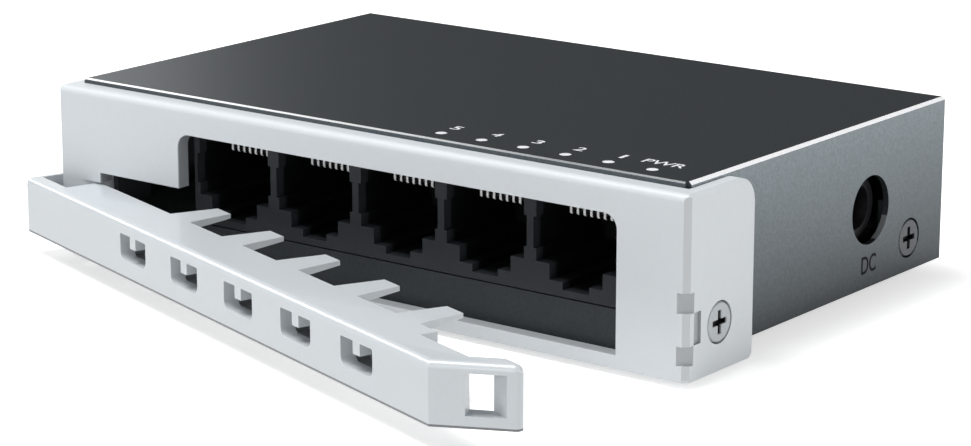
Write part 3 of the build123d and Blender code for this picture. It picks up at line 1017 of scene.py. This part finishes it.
@dataclass
class Electronics:
    """Sockets, board and what stands on it.

    Args:
        finishes: Shared materials.
        dress_list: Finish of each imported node.
    """

    finishes: FinishBook
    dress_list: dict[Finish, tuple[str, ...]] = field(
        default_factory=lambda: {
            PORT: ("port_block",),
            WIRE: tuple(f"port_contacts_{i}" for i in range(1, 6)),
            JACK: ("dc_jack",),
            STEEL: ("dc_jack_pin", "board_screws", "board_standoffs"),
            BOARD: ("circuit_board",),
            CHIP: ("switch_chip", "line_transformers", "regulator_chip", "memory_chip"),
            CAN: ("input_capacitor", "output_capacitor", "clock_crystal"),
            SINK: ("heat_sink",),
            FERRITE: ("power_inductor",),
        }
    )

    def build(self) -> None:
        """Dresses every electronic piece."""
        for finish, nodes in self.dress_list.items():
            self.finishes.dress(finish, *nodes)


@dataclass
class Lamp:
    """One soft area light.

    Args:
        name: Name of the light.
        place: Position in metres.
        target: Point it faces.
        size: Width and height in metres.
        watts: Power.
    """

    name: str
    place: Point
    target: Point
    size: tuple[float, float]
    watts: float

    def build(self) -> None:
        """Adds the light to the scene."""
        data = bpy.data.lights.new(self.name, "AREA")
        data.shape = "RECTANGLE"
        data.size, data.size_y = self.size
        data.energy = self.watts
        lamp = bpy.data.objects.new(self.name, data)
        lamp.location = self.place
        aim = Vector(self.target) - Vector(self.place)
        lamp.rotation_euler = aim.to_track_quat("-Z", "Y").to_euler()
        bpy.context.scene.collection.objects.link(lamp)
        LOG.info("light %s", self.name)


@dataclass
class Floor:
    """Pale floor, near-white to the camera and darker only in the object's contact shadow.

    Args:
        half: Half the floor's side in metres.
        grey: Linear grey of the floor.
        roughness: Roughness of the floor.
        specular: Specular level of the floor.
        glow: Light that the camera alone sees the floor give.
    """

    half: float = 3.0
    grey: float = 0.82
    roughness: float = 0.9
    specular: float = 0.1
    glow: float = 0.6

    def build(self) -> None:
        """Lays the floor."""
        half = self.half
        mesh = bpy.data.meshes.new("floor")
        corners = [(-half, -half, 0), (half, -half, 0), (half, half, 0), (-half, half, 0)]
        mesh.from_pydata(corners, [], [(0, 1, 2, 3)])
        floor = bpy.data.objects.new("floor", mesh)
        bpy.context.scene.collection.objects.link(floor)
        mesh.materials.append(self._finish())
        LOG.info("floor laid")

    def _finish(self) -> bpy.types.Material:
        """Makes the floor's material.

        Returns:
            The material.
        """
        recipe = Recipe("pale_floor")
        paint = {
            "Base Color": (self.grey,) * 3,
            "Roughness": self.roughness,
            "Specular IOR Level": self.specular,
        }
        recipe.fill(recipe.shader, paint)
        unlit = recipe.add("Emission", {"Strength": 0.0}).outputs["Emission"]
        glowing = recipe.add("Emission", {"Strength": self.glow}).outputs["Emission"]
        to_camera = recipe.add("LightPath", {}).outputs["Is Camera Ray"]
        shown = recipe.add("MixShader", {0: to_camera, 1: unlit, 2: glowing}).outputs["Shader"]
        both = recipe.add("AddShader", {0: recipe.shader.outputs["BSDF"], 1: shown}).outputs["Shader"]
        recipe.feed(recipe.tree.nodes["Material Output"].inputs["Surface"], both)
        return recipe.material


@dataclass
class Sky:
    """Even grey light from all round, white where the camera looks.

    Args:
        grey: Linear grey of the light.
    """

    grey: float = 0.08

    def build(self) -> None:
        """Makes the world."""
        world = bpy.data.worlds.new("studio_world")
        bpy.context.scene.world = world
        world.use_nodes = True
        tree = world.node_tree
        light = tree.nodes["Background"]
        light.inputs["Color"].default_value = (self.grey, self.grey, self.grey, 1.0)
        light.inputs["Strength"].default_value = 1.0
        white = tree.nodes.new("ShaderNodeBackground")
        white.inputs["Strength"].default_value = 1.0
        path = tree.nodes.new("ShaderNodeLightPath")
        mix = tree.nodes.new("ShaderNodeMixShader")
        tree.links.new(path.outputs["Is Camera Ray"], mix.inputs["Fac"])
        tree.links.new(light.outputs["Background"], mix.inputs[1])
        tree.links.new(white.outputs["Background"], mix.inputs[2])
        tree.links.new(mix.outputs["Shader"], tree.nodes["World Output"].inputs["Surface"])
        LOG.info("sky made")


@dataclass
class Camera:
    """Camera at the photograph's viewing angle.

    Args:
        place: Position in metres.
        yaw: Turn of the view to the left, in degrees.
        pitch: Downward tilt, in degrees.
        focal_pixels: Focal length in pixels of the photograph.
        picture_pixels: Width of the photograph in pixels.
        film_width: Width of the film in millimetres.
        clip_start: Nearest distance that shows, in metres.
    """

    place: Point = (0.243763, -0.288577, 0.110112)
    yaw: float = 37.571
    pitch: float = 14.511
    focal_pixels: float = 3056.07
    picture_pixels: float = 971.0
    film_width: float = 36.0
    clip_start: float = 10.0 * MM

    def build(self) -> None:
        """Places the camera."""
        data = bpy.data.cameras.new("camera")
        data.lens = self.focal_pixels / self.picture_pixels * self.film_width
        data.sensor_width = self.film_width
        data.clip_start = self.clip_start
        camera = bpy.data.objects.new("camera", data)
        camera.location = self.place
        camera.rotation_euler = (math.radians(90 - self.pitch), 0, math.radians(self.yaw))
        bpy.context.scene.collection.objects.link(camera)
        bpy.context.scene.camera = camera
        LOG.info("camera placed")


@dataclass
class Studio:
    """Sky, floor, lights and camera.

    Args:
        lamps: The lights.
    """

    lamps: list[Lamp] = field(
        default_factory=lambda: [
            Lamp("key_above_left", (-0.22, -0.22, 0.96), (0, 0, 0), (0.45, 0.45), 9.6),
            Lamp("fill_front", (0.15, -0.9, 0.35), (0, 0, 0.01), (0.8, 0.4), 2.6),
            Lamp("side_right", (0.85, -0.05, 0.35), (0.05, 0.03, 0.01), (0.5, 0.5), 1.9),
            Lamp("rim_left", (-0.8, 0.0, 0.46), (0, 0, 0.01), (0.2, 0.3), 1.9),
            Lamp("card_left", (-0.95, 0.5, 0.27), (0, 0.03, 0.02), (0.7, 0.5), 0.85),
            Lamp("card_rear_right", (0.55, 0.75, 0.05), (0.05, 0.05, 0.012), (0.9, 0.1), 2.8),
        ]
    )

    def build(self) -> None:
        """Makes the whole studio."""
        Sky().build()
        Floor().build()
        for lamp in self.lamps:
            lamp.build()
        Camera().build()
        bpy.context.scene.view_settings.view_transform = "Standard"


def main() -> None:
    """Builds the dressed part in order."""
    finishes = FinishBook()
    MetalCase(finishes).build()
    FrontFrame(finishes).build()
    LockBar(finishes).build()
    Electronics(finishes).build()
    Studio().build()


if __name__ == "__main__":
    main()
